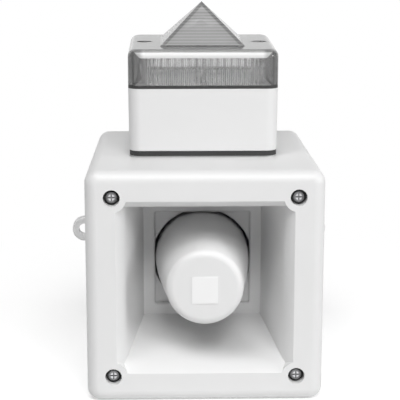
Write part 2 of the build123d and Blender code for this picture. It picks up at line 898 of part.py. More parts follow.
def top_plate():
    plate = rod(driver_radius, top_plate_depth, magnet_depth)
    plate = plate - rod(coil_outer() + coil_gap, 0, housing_depth)
    return plate - [rod(m3_shank + thread_gap, top_plate_depth - 1, magnet_depth + 1, x, z)
                    for x, z in cover_screw_places()]


def magnet():
    ring = Circle(driver_radius) - Circle(magnet_hole_radius)
    return across(ring, magnet_depth, back_plate_depth)


def back_plate():
    pole = rod(coil_outer() - coil_thickness - coil_gap, top_plate_depth, back_plate_depth + 1)
    plate = rod(driver_radius - 1, back_plate_depth, driver_back_depth)
    return fillet(plate.edges().group_by(Axis.Y)[-1], head_edge) + pole


def driver_tags():
    """A small strip on the back plate with two solder tags."""
    width, thickness, height = tag_board_size
    strip = block(centred(0, width), (y_at(driver_back_depth), y_at(driver_back_depth) + thickness),
                  centred(0, height))
    tags = [block(centred(side * width / 4, tag_width),
                  (y_at(driver_back_depth) + thickness, y_at(driver_back_depth) + thickness + tag_thickness),
                  (-height / 2, tag_length - height / 2)) for side in (-1, 1)]
    return strip + tags


# Sounder board

def sounder_board():
    back = y_at(board_front_depth + board_length)
    board = block(centred(0, board_width), (y_at(board_front_depth), back), (board_height, board_top))
    return board - [post(m3_hole, board_height - 1, board_top + 1, x, y) for x, y in board_places()]


def board_screws():
    length = board_thickness + board_screw_length - hole_end_gap
    return together(Pos(x, y, board_top) * m3_screw(length) for x, y in board_places())


def transformer_core():
    """An upright laminated core with two windows beside its middle leg."""
    width, thickness, height = core_size
    window = (width - core_leg) / 2 - core_yoke
    core = Pos(0, 0, height / 2) * Box(width, thickness, height)
    for side in (-1, 1):
        middle = side * (core_leg + window) / 2
        core = core - Pos(middle, 0, height / 2) * Box(window, 2 * thickness, height - 2 * core_yoke)
    return Pos(core_offset, y_at(core_depth), board_top) * core


def transformer_winding():
    width, thickness, height = core_size
    window = (width - core_leg) / 2 - core_yoke
    tall_side = height - 2 * core_yoke - 2 * winding_gap
    around = window - 2 * winding_gap
    outer = RectangleRounded(core_leg + 2 * winding_gap + 2 * around, thickness + 2 * winding_gap + 2 * around,
                             around / 2)
    inner = Rectangle(core_leg + 2 * winding_gap, thickness + 2 * winding_gap)
    coil = extrude(outer - inner, amount=tall_side)
    return Pos(core_offset, y_at(core_depth), board_top + core_yoke + winding_gap) * coil


def capacitors():
    x, depth = capacitor_place
    one = Pos(0, 0, capacitor_length / 2) * Cylinder(capacitor_radius, capacitor_length)
    one = fillet(one.edges().group_by(Axis.Z)[-1], capacitor_edge)
    return together(Pos(x, y_at(depth) - index * capacitor_pitch, board_top) * one for index in (0, 1))


def terminal_places():
    first = terminal_offset - (terminal_count - 1) * terminal_pitch / 2
    return [first + index * terminal_pitch for index in range(terminal_count)]


def terminal_block():
    length, height = terminal_size
    width = terminal_count * terminal_pitch
    middle = y_at(terminal_depth)
    body = block(centred(terminal_offset, width), centred(middle, length), (board_top, board_top + height))
    top = board_top + height
    cut = []
    for x in terminal_places():
        cut.append(block(centred(x, terminal_hole), (middle - length, middle),
                         centred(board_top + height / 3, terminal_hole)))
        cut.append(post(terminal_screw_radius + seal_gap, top - terminal_screw_length - seal_gap, top + 1,
                        x, middle))
    return body - cut


def terminal_screws():
    top = board_top + terminal_size[1] - seal_gap
    bottom = top - terminal_screw_length
    middle = y_at(terminal_depth)
    slot = terminal_screw_radius / 3
    return together(post(terminal_screw_radius, bottom, top, x, middle)
                    - block(centred(x, slot), centred(middle, 4 * terminal_screw_radius), (top - 1, top + 1))
                    for x in terminal_places())


def slider_places():
    first = switch_place[0] - (slider_count - 1) * slider_pitch / 2
    return [first + index * slider_pitch for index in range(slider_count)]


def slot_span():
    """The front and back of a slider's slot."""
    length = slider_length + slider_travel + 2 * slider_gap
    return centred(y_at(switch_place[1]), length)


def tone_switch_body():
    width = (slider_count - 1) * slider_pitch + 2 * switch_end
    top = board_top + switch_height
    body = block(centred(switch_place[0], width), centred(y_at(switch_place[1]), switch_length),
                 (board_top, top))
    return body - [block(centred(x, slider_width + 2 * slider_gap), slot_span(), (top - slider_sink, top + 1))
                   for x in slider_places()]


def tone_slider(x):
    """One slider at the front end of its slot."""
    top = board_top + switch_height
    front = slot_span()[0] + slider_gap
    return block(centred(x, slider_width), (front, front + slider_length),
                 (top - slider_sink + slider_gap, top + slider_rise))


def volume_body():
    x, depth = volume_place
    top = board_top + volume_height
    body = block(centred(x, volume_size), centred(y_at(depth), volume_size), (board_top, top))
    return body - post(volume_radius + volume_gap, top - volume_sink, top + 1, x, y_at(depth))


def volume_rotor():
    x, depth = volume_place
    top = board_top + volume_height
    rotor = post(volume_radius, top - volume_sink + volume_gap, top + volume_rise, x, y_at(depth))
    slot = block(centred(x, volume_slot), centred(y_at(depth), 4 * volume_radius),
                 (top + volume_rise - 1, top + volume_rise + 1))
    return rotor - slot


# Beacon

def beacon_plan(width, radius):
    """A rounded square about the beacon's centre, as a plan."""
    return Pos(0, axis_y) * rounded(width, radius)


def beacon_gasket():
    pad = tall(beacon_plan(gasket_width, base_corner), plinth_top, gasket_top)
    cut = [post(m4_hole, plinth_top - 1, gasket_top + 1, x, y)
           for x, y in beacon_places(beacon_screw_pitch, beacon_screw_pitch)]
    return pad - cut - post(wire_hole_radius, plinth_top - 1, gasket_top + 1, 0, axis_y)


def base_block(inset, low, high):
    """The beacon base's form, slightly wider at the top, taken inwards by the inset."""
    spread = (base_top_width - base_bottom_width) / base_height
    sections = []
    for z in (low, high):
        width = base_bottom_width + spread * (z - gasket_top) - 2 * inset
        sections.append(Pos(0, 0, z) * beacon_plan(width, base_corner - inset))
    return loft(sections)


def base_rib(x, side):
    """A short wall inside the base that carries the reflector plate."""
    wall = base_bottom_width / 2 - base_wall
    span = sorted((axis_y + side * (wall - rib_thickness), axis_y + side * (wall + 1)))
    return block(centred(x, rib_width), span, (base_floor_top - 1, plate_top - plate_thickness))


def lens_places():
    return [(side * lens_screw_pitch / 2, axis_y) for side in (-1, 1)]


def beacon_base():
    base = base_block(0, gasket_top, base_top)
    base = fillet(base.faces().sort_by(Axis.Z)[0].edges(), base_edge)
    base = base - base_block(base_wall, base_floor_top, base_top + 1)
    added = [base_rib(x * rib_pitch / 2, y) for x, y in signs()]
    added += [post(lens_pillar_radius, base_floor_top - 1, plate_top, x, y) for x, y in lens_places()]
    added += [post(pillar_radius, base_floor_top - 1, beacon_board_bottom, x, y)
              for x, y in beacon_places(*beacon_board_holes)]
    cut = [post(m4_hole, gasket_top - 1, base_floor_top + 1, x, y)
           for x, y in beacon_places(beacon_screw_pitch, beacon_screw_pitch)]
    cut.append(post(wire_hole_radius, gasket_top - 1, base_floor_top + 1, 0, axis_y))
    cut += [post(lens_insert_radius, plate_top - lens_insert_length, plate_top + 1, x, y) for x, y in lens_places()]
    cut += [post(m4_hole, plate_top - lens_insert_length - 4, plate_top, x, y) for x, y in lens_places()]
    cut += [post(m3_shank + thread_gap, beacon_board_bottom - board_screw_length, beacon_board_bottom + 1, x, y)
            for x, y in beacon_places(*beacon_board_holes)]
    return base + added - cut


def beacon_screws():
    length = base_floor_top - beacon_boss_face + nut_height + screw_tail
    return together(Pos(x, y, base_floor_top) * m4_screw(length)
                    for x, y in beacon_places(beacon_screw_pitch, beacon_screw_pitch))


def beacon_nuts():
    nut = extrude(RegularPolygon(nut_width / 2, 6, major_radius=False), amount=-nut_height)
    nut = nut - Cylinder(m4_shank + thread_gap, 4 * nut_height)
    return together(Pos(x, y, beacon_boss_face) * nut
                    for x, y in beacon_places(beacon_screw_pitch, beacon_screw_pitch))


def beacon_board():
    board = tall(Pos(0, axis_y) * Rectangle(beacon_board_width, beacon_board_length),
                 beacon_board_bottom, beacon_board_top)
    return board - [post(m3_hole, beacon_board_bottom - 1, beacon_board_top + 1, x, y)
                    for x, y in beacon_places(*beacon_board_holes)]


def beacon_board_screws():
    length = board_thickness + board_screw_length - hole_end_gap
    return together(Pos(x, y, beacon_board_top) * m3_screw(length)
                    for x, y in beacon_places(*beacon_board_holes))


def on_beacon_board(place, rise=0.0):
    """A place on the beacon's board, counted from its centre."""
    return Pos(place[0], axis_y + place[1], beacon_board_top + rise)


def flash_capacitor():
    can = Rot(0, 90, 0) * Cylinder(flash_capacitor_radius, flash_capacitor_length)
    can = fillet(can.edges(), capacitor_edge)
    return on_beacon_board(flash_capacitor_place, flash_capacitor_radius) * can


def trigger_coil():
    coil = Cylinder(trigger_coil_radius, trigger_coil_height)
    return on_beacon_board(trigger_coil_place, trigger_coil_height / 2) * coil


def inverter_transformer():
    body = Box(*inverter_size)
    body = fillet(body.edges().filter_by(Axis.Z), head_edge)
    return on_beacon_board(inverter_place, inverter_size[2] / 2) * body


def beacon_terminals():
    width, length, height = beacon_terminal_size
    body = Box(*beacon_terminal_size)
    for index in range(3):
        x = (index - 1) * terminal_pitch
        body = body - Pos(x, -length / 2, -height / 6) * Box(terminal_hole, length, terminal_hole)
        body = body - Pos(x, 0, height / 2) * Cylinder(terminal_screw_radius, height / 2)
    return on_beacon_board(beacon_terminal_place, height / 2) * body


def reflector_plate():
    width = base_bottom_width - 2 * base_wall - plate_gap
    low = plate_top - plate_thickness
    plate = tall(beacon_plan(width, base_corner - base_wall), low, plate_top)
    cut = [post(lens_pillar_radius + holder_gap, low - 1, plate_top + 1, x, y) for x, y in lens_places()]
    return plate - cut - post(holder_radius + holder_gap, low - 1, plate_top + 1, 0, axis_y)


def holder_top():
    return plate_top + holder_rise


def tube_holder():
    holder = post(holder_radius, beacon_board_top, holder_top(), 0, axis_y)
    return holder - [post(tube_radius + thread_gap, holder_top() - tube_socket, holder_top() + 1,
                          side * tube_leg_offset, axis_y) for side in (-1, 1)]


def xenon_tube():
    """A bent glass tube with its two legs in the holder."""
    low = holder_top() - tube_socket
    bend = tube_top - tube_radius - tube_leg_offset
    left = Line((-tube_leg_offset, axis_y, low), (-tube_leg_offset, axis_y, bend))
    over = ThreePointArc((-tube_leg_offset, axis_y, bend), (0, axis_y, bend + tube_leg_offset),
                         (tube_leg_offset, axis_y, bend))
    right = Line((tube_leg_offset, axis_y, bend), (tube_leg_offset, axis_y, low))
    section = Pos(-tube_leg_offset, axis_y, low) * Circle(tube_radius)
    return sweep(section, path=Wire([left, over, right]))


# Lens

def lens_seal():
    inner = base_top_width - 2 * base_wall
    ring = beacon_plan(base_top_width, base_corner) - beacon_plan(inner, base_corner - base_wall)
    return tall(ring, base_top, lens_bottom)


def fluted_plan():
    """The space inside the lens's walls, with half-round ribs that stand into it."""
    wall = lens_width / 2 - lens_wall
    plan = rounded(2 * wall, lens_corner - lens_wall)
    first = -(flute_count - 1) * flute_pitch / 2
    ribs = []
    for index in range(flute_count):
        along = first + index * flute_pitch
        for side in (-1, 1):
            ribs.append(Pos(along, side * wall) * Circle(flute_radius))
            ribs.append(Pos(side * wall, along) * Circle(flute_radius))
    return Pos(0, axis_y) * (plan - ribs)


def pyramid(width, low, high):
    """A square pyramid about the beacon's centre, with a pointed top."""
    base = Pos(0, axis_y, low) * Rectangle(width, width)
    tip = Pos(0, axis_y, high) * Rectangle(0.2, 0.2)
    return loft([base, tip])


def pyramid_hollow():
    """The stepped space inside the pyramid: each step is a level with straight sides."""
    height = pyramid_top - lens_top
    step = (height - pyramid_tip - pyramid_wall) / pyramid_steps
    slope = pyramid_width / 2 / height
    levels = []
    for index in range(pyramid_steps):
        low = lens_top + index * step
        half = pyramid_width / 2 - slope * (low + step - lens_top) - pyramid_wall
        if half > least_corner:
            start = low if index else lens_top - lens_top_thickness - 1
            levels.append(tall(Pos(0, axis_y) * Rectangle(2 * half, 2 * half), start, low + step))
    return levels


def lens():
    body = tall(beacon_plan(lens_width, lens_corner), lens_bottom, lens_top)
    body = fillet(body.faces().sort_by(Axis.Z)[-1].edges(), lens_rounding)
    body = body - tall(fluted_plan(), lens_bottom - 1, lens_top - lens_top_thickness)
    body = body + pyramid(pyramid_width, lens_top, pyramid_top)
    for level in pyramid_hollow():
        body = body - level
    tubes = [post(well_radius + well_wall, plate_top, lens_top - 1, x, y) for x, y in lens_places()]
    cut = [post(well_radius, lens_top - well_depth, lens_top + 1, x, y) for x, y in lens_places()]
    cut += [post(m4_hole, plate_top - 1, lens_top, x, y) for x, y in lens_places()]
    return body + tubes - cut


def lens_screws():
    seat = lens_top - well_depth
    length = seat - plate_top + lens_screw_bite
    return together(Pos(x, y, seat) * m4_screw(length) for x, y in lens_places())


def lens_inserts():
    low = plate_top - lens_insert_length
    return together(post(lens_insert_radius, low, plate_top, x, y)
                    - post(m4_shank + thread_gap, low - 1, plate_top + 1, x, y) for x, y in lens_places())


def write(shape, name):
    export_step(shape, f"parts/{name}.step")


pieces = [
    rear_housing, housing_seal, housing_inserts, front_horn, front_screws, screw_seals,
    blanking_plug, plug_seal, plug_locknut,
    horn_cup, throat_tube, label_plate, horn_bowl, bowl_seal, bowl_screws,
    driver_gasket, driver_cover, driver_screws, cover_screws, diaphragm, voice_coil, clamp_ring,
    top_plate, magnet, back_plate, driver_tags,
    sounder_board, board_screws, transformer_core, transformer_winding, capacitors,
    terminal_block, terminal_screws, tone_switch_body, volume_body, volume_rotor,
    beacon_gasket, beacon_base, beacon_screws, beacon_nuts, beacon_board, beacon_board_screws,
    flash_capacitor, trigger_coil, inverter_transformer, beacon_terminals,
    reflector_plate, tube_holder, xenon_tube, lens_seal, lens, lens_screws, lens_inserts,
]

os.makedirs("parts", exist_ok=True)
for piece in pieces:
    write(piece(), piece.__name__)
for number, place in enumerate(slider_places(), start=1):
    write(tone_slider(place), f"tone_slider_{number}")
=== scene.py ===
import math

import bmesh
import bpy
from mathutils import Euler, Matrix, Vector


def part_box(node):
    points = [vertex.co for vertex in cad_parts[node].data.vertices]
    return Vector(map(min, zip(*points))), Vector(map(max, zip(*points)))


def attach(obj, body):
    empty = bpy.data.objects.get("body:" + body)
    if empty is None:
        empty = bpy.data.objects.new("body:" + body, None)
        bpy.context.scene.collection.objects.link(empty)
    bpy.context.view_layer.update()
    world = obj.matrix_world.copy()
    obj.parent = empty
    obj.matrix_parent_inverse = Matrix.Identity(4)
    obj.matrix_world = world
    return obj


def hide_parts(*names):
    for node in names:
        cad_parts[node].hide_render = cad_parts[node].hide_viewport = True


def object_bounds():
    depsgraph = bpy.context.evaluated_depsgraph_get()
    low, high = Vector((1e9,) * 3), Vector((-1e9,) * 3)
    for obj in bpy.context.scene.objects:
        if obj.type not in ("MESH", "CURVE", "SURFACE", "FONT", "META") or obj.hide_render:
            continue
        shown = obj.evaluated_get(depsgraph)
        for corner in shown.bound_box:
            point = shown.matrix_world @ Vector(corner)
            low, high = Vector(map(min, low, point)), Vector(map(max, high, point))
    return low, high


# A wall-mounted alarm sounder with a beacon on top, in a plain pale studio.
# Metres, +Z up. The origin is the centre of the flat back, level with the horn's axis.

MM = 0.001

# Camera, placed as the photograph was taken
CAMERA_PLACE = (-0.026704, -1.122881, 0.278248)
CAMERA_PITCH = math.radians(12.8379)
CAMERA_YAW = math.radians(1.3903)
CAMERA_ROLL = math.radians(-0.048)
SENSOR_WIDTH = 36.0
FOCAL_PIXELS = 1411
PICTURE_WIDTH = 400
NEAREST_SEEN = 0.01
FARTHEST_SEEN = 50.0

# Floor: its side, where it starts and ends to fade into the white background, and its own glow
FLOOR_SIZE = 8.0
FLOOR_NEAR = 0.14
FLOOR_FAR = 0.4
FLOOR_GLOW = 0.45

# Light from all round as a share of full white, and the point inside the sounder that the lamps look at
WORLD_LIGHT = 0.04
LAMP_TARGET = (0.0, -0.1, 0.03)

# Colours of the plastics, metals, seals and boards
WHITE = (0.80, 0.80, 0.80, 1.0)
SEAL = (0.02, 0.02, 0.02, 1.0)
STEEL = (0.45, 0.45, 0.46, 1.0)
BRASS = (0.66, 0.47, 0.2, 1.0)
BLACK = (0.035, 0.035, 0.037, 1.0)
PALE = (0.7, 0.69, 0.62, 1.0)
GREEN = (0.06, 0.28, 0.12, 1.0)
BOARD = (0.015, 0.11, 0.04, 1.0)
FILM = (0.45, 0.34, 0.16, 1.0)
COPPER = (0.7, 0.3, 0.12, 1.0)
FERRITE = (0.06, 0.06, 0.065, 1.0)
CORE = (0.25, 0.25, 0.27, 1.0)
RUST = (0.24, 0.17, 0.12, 1.0)
SLEEVE = (0.02, 0.025, 0.07, 1.0)

# Refractive indices of moulded plastic, the clear lens and the tube's glass
PLASTIC_INDEX = 1.5
CLEAR_INDEX = 1.45
GLASS_INDEX = 1.46

# Tool marks in metal: about how many lie along a metre of X, Y and Z
TURNED_MARKS = (1400.0, 1400.0, 160.0)
ROLLED_MARKS = (900.0, 120.0, 900.0)

# Lens: its shoulder's height, and the shelf, bevel, corners, rim, flutes, hips and ribs that show in it,
# where the bevel gets a painted highlight and the rest painted shade
LENS_SHOULDER = 160.0 * MM
SHELF_BAND = 0.6 * MM
BEVEL_START = 1.8 * MM
BEVEL_END = 5.8 * MM
CORNER_BAND = 10.0 * MM
RIM_BAND = 4.0 * MM
FLUTE_PITCH = 5.0 * MM
FLUTE_FADE = 24.0 * MM
HIP_BAND = 3.2 * MM
RIB_PITCH = 2.0 * MM

# Widths over which those parts of the lens start and end
SHELF_BLUR = 0.4 * MM
BEVEL_BLUR = 0.8 * MM
LINE_BLUR = 1.0 * MM
FLUTE_BLUR = 2.0 * MM
CORNER_BLUR = 3.0 * MM

# Lens: how deep its painted shade gets at most, and where, how fast and how far painted shade is added as a
# wall turns away from the camera
MOST_PAINTED_SHADE = 0.8
TURNED_AWAY = 0.62
TURNING_RATE = 1.2
TURNING_LIMIT = 0.45

# Front screws' heads: the radius of the painted glint in the middle, the width of the painted shade in the
# slots, the lathe rings and soft edges
HEAD_MIDDLE = 2.3 * MM
HEAD_SLOT = 1.0 * MM
LATHE_PITCH = 0.6 * MM
MIDDLE_BLUR = 0.8 * MM
SLOT_BLUR = 0.3 * MM

# Washers under the front screws' heads: their sizes, and the radius of the plain ones in the frame; the
# washers are wider than these, so their black also stands in for shade on the recess floor
WASHER_BORE_RADIUS = 2.1 * MM
WASHER_RADIUS = 5.7 * MM
WASHER_ROUNDING = 0.35 * MM
PLAIN_WASHER_RADIUS = 4.6 * MM
WASHER_SEGMENTS = 64
ROUNDING_STEPS = 4

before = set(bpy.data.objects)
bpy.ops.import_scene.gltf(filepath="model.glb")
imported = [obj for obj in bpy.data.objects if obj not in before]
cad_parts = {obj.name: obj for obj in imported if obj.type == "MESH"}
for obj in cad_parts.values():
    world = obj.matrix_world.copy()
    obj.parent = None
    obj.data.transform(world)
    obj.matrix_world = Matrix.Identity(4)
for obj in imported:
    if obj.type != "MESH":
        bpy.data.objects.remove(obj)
cad_low, cad_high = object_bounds()

# How far the axis of each front screw is from the horn's axis, both sideways and upwards
SCREW_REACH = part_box("screw_seals")[1][0] - PLAIN_WASHER_RADIUS


# Shader helpers

class Signal:
    """One output of a shader graph that Python's operators add Math nodes to."""

    def __init__(self, graph, socket):
        self.graph = graph
        self.socket = socket

    def math(self, operation, *values):
        return self.graph.node("ShaderNodeMath", {"operation": operation}, dict(enumerate(values)))

    def __add__(self, other):
        return self.math("ADD", self, other)

    def __radd__(self, other):
        return self.math("ADD", other, self)

    def __sub__(self, other):
        return self.math("SUBTRACT", self, other)

    def __rsub__(self, other):
        return self.math("SUBTRACT", other, self)

    def __mul__(self, other):
        return self.math("MULTIPLY", self, other)

    def __rmul__(self, other):
        return self.math("MULTIPLY", other, self)

    def __truediv__(self, other):
        return self.math("DIVIDE", self, other)

    def least(self, other):
        return self.math("MINIMUM", self, other)

    def most(self, other):
        return self.math("MAXIMUM", self, other)

    def clamp(self, low=0.0, high=1.0):
        return self.most(low).least(high)

    def size(self):
        """The value without its sign."""
        return self.math("ABSOLUTE", self)

    def root(self):
        return self.math("SQRT", self)

    def cosine(self):
        return self.math("COSINE", self)

    def swing(self, amount):
        """Half of an amount up or down, from a value between 0 and 1."""
        return amount * (self - 0.5)

    def after(self, edge, soft):
        """0 below an edge and 1 above it, with a soft step centred on the edge."""
        return ((self - (edge - soft / 2)) / soft).clamp()

    def before(self, edge, soft):
        """1 below an edge and 0 above it."""
        return 1 - self.after(edge, soft)


def spaced(values):
    """Values by the names of their sockets, from keywords that have _ for a space."""
    return {key.replace("_", " "): value for key, value in values.items()}


class Graph:
    """A material's nodes, with its main shader ready to be set."""

    def __init__(self, name):
        self.material = bpy.data.materials.new(name)
        self.material.use_nodes = True
        self.nodes = self.material.node_tree.nodes
        self.links = self.material.node_tree.links
        self.shader = self.nodes["Principled BSDF"]

    def node(self, kind, settings=None, inputs=None, output=0):
        """Adds a node, sets its settings first, then the values or links of its sockets."""
        made = self.nodes.new(kind)
        for key, value in (settings or {}).items():
            setattr(made, key, value)
        self.feed(made, inputs or {})
        return Signal(self, made.outputs[output])

    def feed(self, node, inputs):
        """Links signals to a node's sockets, and sets the sockets of plain values."""
        for key, value in inputs.items():
            if isinstance(value, Signal):
                self.links.new(value.socket, node.inputs[key])
            else:
                node.inputs[key].default_value = value

    def set(self, **values):
        """Sets the main shader's sockets, written with _ for a space."""
        self.feed(self.shader, spaced(values))

    def place(self):
        """The place on the object in metres, the same in every view and pose."""
        return self.node("ShaderNodeTexCoord", output="Object")

    def axis(self, vector, name):
        """One coordinate of a place."""
        return self.node("ShaderNodeSeparateXYZ", {}, {"Vector": vector}, output=name)

    def noise(self, size, detail=2.0, roughness=0.5):
        """Soft noise from 0 to 1 whose features are about a size in metres."""
        return self.node("ShaderNodeTexNoise", {}, {"Vector": self.place(), "Scale": 1 / size,
                                                    "Detail": detail, "Roughness": roughness})

    def tool_marks(self, marks):
        """Noise drawn out into lines, by how many lie along a metre of each axis."""
        drawn = self.node("ShaderNodeMapping", {}, {"Vector": self.place(), "Scale": marks})
        return self.node("ShaderNodeTexNoise", {}, {"Vector": drawn, "Scale": 1.0, "Detail": 3.0,
                                                    "Roughness": 0.6})

    def waves(self, kind, direction, scale, distortion):
        """Even bands across an axis, or rings round it, from 0 to 1."""
        return self.node("ShaderNodeTexWave",
                         {"wave_type": kind, "bands_direction": direction, "rings_direction": direction},
                         {"Vector": self.place(), "Scale": scale, "Distortion": distortion, "Detail": 1.0},
                         output="Fac")

    def comb(self, distance, pitch, changes=260.0, faint=0.3, uneven=1.4):
        """Narrow lines at a pitch, 1 on a line and 0 between, that fade and return some times a metre."""
        wave = 0.5 + 0.5 * (distance * (2 * math.pi / pitch)).cosine()
        noise = self.node("ShaderNodeTexNoise", {"noise_dimensions": "1D"},
                          {"W": distance * changes, "Detail": 1.0})
        return wave * wave * wave * (faint + uneven * noise)

    def blend(self, factor, first, second):
        """A colour between two, by a factor from 0 to 1."""
        return self.node("ShaderNodeMix", {"data_type": "RGBA"},
                         {"Factor": factor, "A": first, "B": second}, output="Result")

    def bump(self, height, depth):
        return self.node("ShaderNodeBump", {}, {"Height": height, "Distance": depth, "Strength": 1.0})

    def main_shader(self):
        return Signal(self, self.shader.outputs["BSDF"])

    def second_shader(self, **values):
        """Another shader beside the main one."""
        return self.node("ShaderNodeBsdfPrincipled", {}, spaced(values), output="BSDF")

    def mix_shader(self, factor, first, second):
        return self.node("ShaderNodeMixShader", {}, {0: factor, 1: first, 2: second})

    def show(self, shader):
        """Makes a shader the one that the surface has."""
        self.links.new(shader.socket, self.nodes["Material Output"].inputs["Surface"])


def grey(value):
    return (value, value, value, 1.0)


def shaded(colour, factor):
    """A colour made lighter or darker by a factor."""
    return tuple(channel * factor for channel in colour[:3]) + (1.0,)


# Materials

def moulded(name, colour, roughness=0.42, tone=0.03, coat=0.0):
    """Moulded plastic: fine spark-eroded texture, slow tone change and faint flow marks."""
    graph = Graph(name)
    slow = graph.noise(50 * MM, detail=3.0)
    fine = graph.noise(0.7 * MM, detail=3.0, roughness=0.6)
    wavy = graph.noise(18 * MM, detail=1.0)
    graph.set(
        Base_Color=graph.blend(slow, shaded(colour, 1 - tone), shaded(colour, 1 + tone / 2)),
        Roughness=roughness + fine.swing(0.12) + slow.swing(0.06),
        Coat_Weight=coat,
        IOR=PLASTIC_INDEX,
        Normal=graph.bump(fine + 0.6 * wavy, 0.04 * MM),
    )
    return graph.material


def soft_rubber(name, colour):
    """Dull rubber with a fine grain and a little dust."""
    graph = Graph(name)
    grain = graph.noise(0.9 * MM, detail=4.0, roughness=0.7)
    dust = graph.noise(20 * MM)
    graph.set(
        Base_Color=graph.blend(dust, colour, shaded(colour, 1.6)),
        Roughness=0.62 + grain.swing(0.2),
        Normal=graph.bump(grain, 0.06 * MM),
    )
    return graph.material


def worked_metal(name, colour, roughness=0.3, marks=TURNED_MARKS):
    """Turned or rolled metal: fine lines, stains and small changes of gloss."""
    graph = Graph(name)
    lines = graph.tool_marks(marks)
    stain = graph.noise(6 * MM, detail=3.0)
    graph.set(
        Base_Color=graph.blend(stain, shaded(colour, 0.75), colour),
        Metallic=1.0,
        Roughness=roughness + lines.swing(0.18) + stain.swing(0.1),
        Normal=graph.bump(lines, 0.02 * MM),
    )
    return graph.material


def screw_head(name, colour):
    """A turned head with lathe rings, painted shade darkening the rim, a painted glint in the punched middle
    and painted shade in the slots.
    """
    graph = Graph(name)
    place = graph.place()
    across = graph.axis(place, "X").size() - SCREW_REACH
    height = graph.axis(place, "Z").size() - SCREW_REACH
    radius = (across * across + height * height).root()
    rings = graph.comb(radius, LATHE_PITCH)
    grain = graph.noise(0.8 * MM, detail=3.0)
    middle = radius.before(HEAD_MIDDLE, MIDDLE_BLUR)
    painted_slot_shade = middle * across.size().least(height.size()).before(HEAD_SLOT / 2, SLOT_BLUR)
    # Painted shade on the rim and in the slots, and a painted glint in the middle
    painted_shade_rim = graph.blend(rings * 0.5, shaded(colour, 0.4), shaded(colour, 0.85))
    head_with_painted_glint = graph.blend(middle * (0.4 + 0.6 * grain), painted_shade_rim, shaded(colour, 2.0))
    graph.set(
        Base_Color=graph.blend(painted_slot_shade * 0.8, head_with_painted_glint, shaded(colour, 0.2)),
        Metallic=1.0,
        Roughness=0.25 + 0.2 * grain,
        Normal=graph.bump(rings + middle * grain, 0.06 * MM),
    )
    return graph.material


def circuit_board(name, colour):
    """Lacquered board: copper tracks show through as lighter lines."""
    graph = Graph(name)
    track = graph.node("ShaderNodeTexBrick", {"offset": 0.37, "squash": 0.6}, {
        "Vector": graph.place(),
        "Scale": 120.0,
        "Mortar Size": 0.03,
        "Mortar Smooth": 0.1,
        "Brick Width": 1.7,
        "Row Height": 0.3,
        "Color1": grey(0.0),
        "Color2": grey(0.15),
        "Mortar": grey(1.0),
    })
    cloud = graph.noise(12 * MM)
    lacquer = graph.blend(cloud, shaded(colour, 0.8), colour)
    graph.set(
        Base_Color=graph.blend(track * 0.55, lacquer, shaded(colour, 2.3)),
        Roughness=0.3 + cloud.swing(0.15),
        Coat_Weight=0.3,
        Normal=graph.bump(track, 0.03 * MM),
    )
    return graph.material


def wound_wire(name, colour):
    """Enamelled wire laid in even turns, with painted shade in the grooves between them."""
    graph = Graph(name)
    turns = graph.waves("BANDS", "Z", scale=900.0, distortion=0.6)
    graph.set(
        # Darker between turns: painted shade in the grooves
        Base_Color=graph.blend(turns, shaded(colour, 0.45), colour),
        Metallic=0.7,
        Roughness=0.3 + 0.15 * (1 - turns),
        Normal=graph.bump(turns, 0.1 * MM),
    )
    return graph.material


def sintered(name, colour):
    """Pressed and fired powder, grainy and almost black."""
    graph = Graph(name)
    grain = graph.noise(0.6 * MM, detail=5.0, roughness=0.8)
    patch = graph.noise(8 * MM)
    graph.set(
        Base_Color=graph.blend(grain, shaded(colour, 0.6), shaded(colour, 1.35)),
        Metallic=0.2,
        Roughness=0.6 + patch.swing(0.25),
        Normal=graph.bump(grain, 0.06 * MM),
    )
    return graph.material


def stacked_sheet(name, colour):
    """Thin core sheets on edge, one behind the other, with a little rust."""
    graph = Graph(name)
    sheets = graph.waves("BANDS", "Y", scale=620.0, distortion=0.2)
    rust = graph.noise(4 * MM, detail=3.0)
    rusty = graph.blend(rust, colour, RUST)
    graph.set(
        Base_Color=graph.blend(sheets, shaded(colour, 0.4), rusty),
        Metallic=0.8,
        Roughness=0.4 + rust.swing(0.2),
        Normal=graph.bump(sheets, 0.08 * MM),
    )
    return graph.material


def formed_film(name, colour):
    """Thin pressed film with fine rings."""
    graph = Graph(name)
    rings = graph.waves("RINGS", "Y", scale=420.0, distortion=0.3)
    cloud = graph.noise(10 * MM)
    graph.set(
        Base_Color=graph.blend(cloud, shaded(colour, 0.8), shaded(colour, 1.1)),
        Roughness=0.45 + rings.swing(0.15),
        Normal=graph.bump(rings, 0.04 * MM),
    )
    return graph.material


def bare_label(name, colour):
    """A smooth white film label with a slightly matt face."""
    graph = Graph(name)
    fibre = graph.noise(0.5 * MM)
    cloud = graph.noise(10 * MM)
    graph.set(
        Base_Color=graph.blend(cloud, shaded(colour, 0.98), colour),
        Roughness=0.35 + fibre.swing(0.08),
        Normal=graph.bump(fibre, 0.008 * MM),
    )
    return graph.material


def wall_masks(graph, drop, across, along):
    """Where a lens wall shows its bevel, thick corners with slanted lower ends, rim and flutes: the bevel
    for a painted highlight, the rest for painted shade.
    """
    low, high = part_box("lens")
    sideways = across.least(along)
    inward = (high[0] - low[0]) / 2 - sideways
    rise = graph.axis(graph.place(), "Z") - low[2]
    wall = drop.after(SHELF_BAND, SHELF_BLUR)
    bevel_highlight = drop.after(BEVEL_START, BEVEL_BLUR) * drop.before(BEVEL_END, BEVEL_BLUR)
    slanted = (inward - rise).before(0.0, BEVEL_BLUR)
    window = inward.after(CORNER_BAND, FLUTE_BLUR) * drop.after(BEVEL_END, LINE_BLUR)
    return {
        "wall": wall,
        "bevel_highlight": bevel_highlight * (inward - drop).after(BEVEL_END / 2, LINE_BLUR),
        "corner": inward.before(CORNER_BAND, CORNER_BLUR) * slanted * wall,
        "rim": inward.before(RIM_BAND, LINE_BLUR) * wall,
        "flutes": (graph.comb(sideways, FLUTE_PITCH) * window * (1 - drop / FLUTE_FADE)).clamp(),
    }


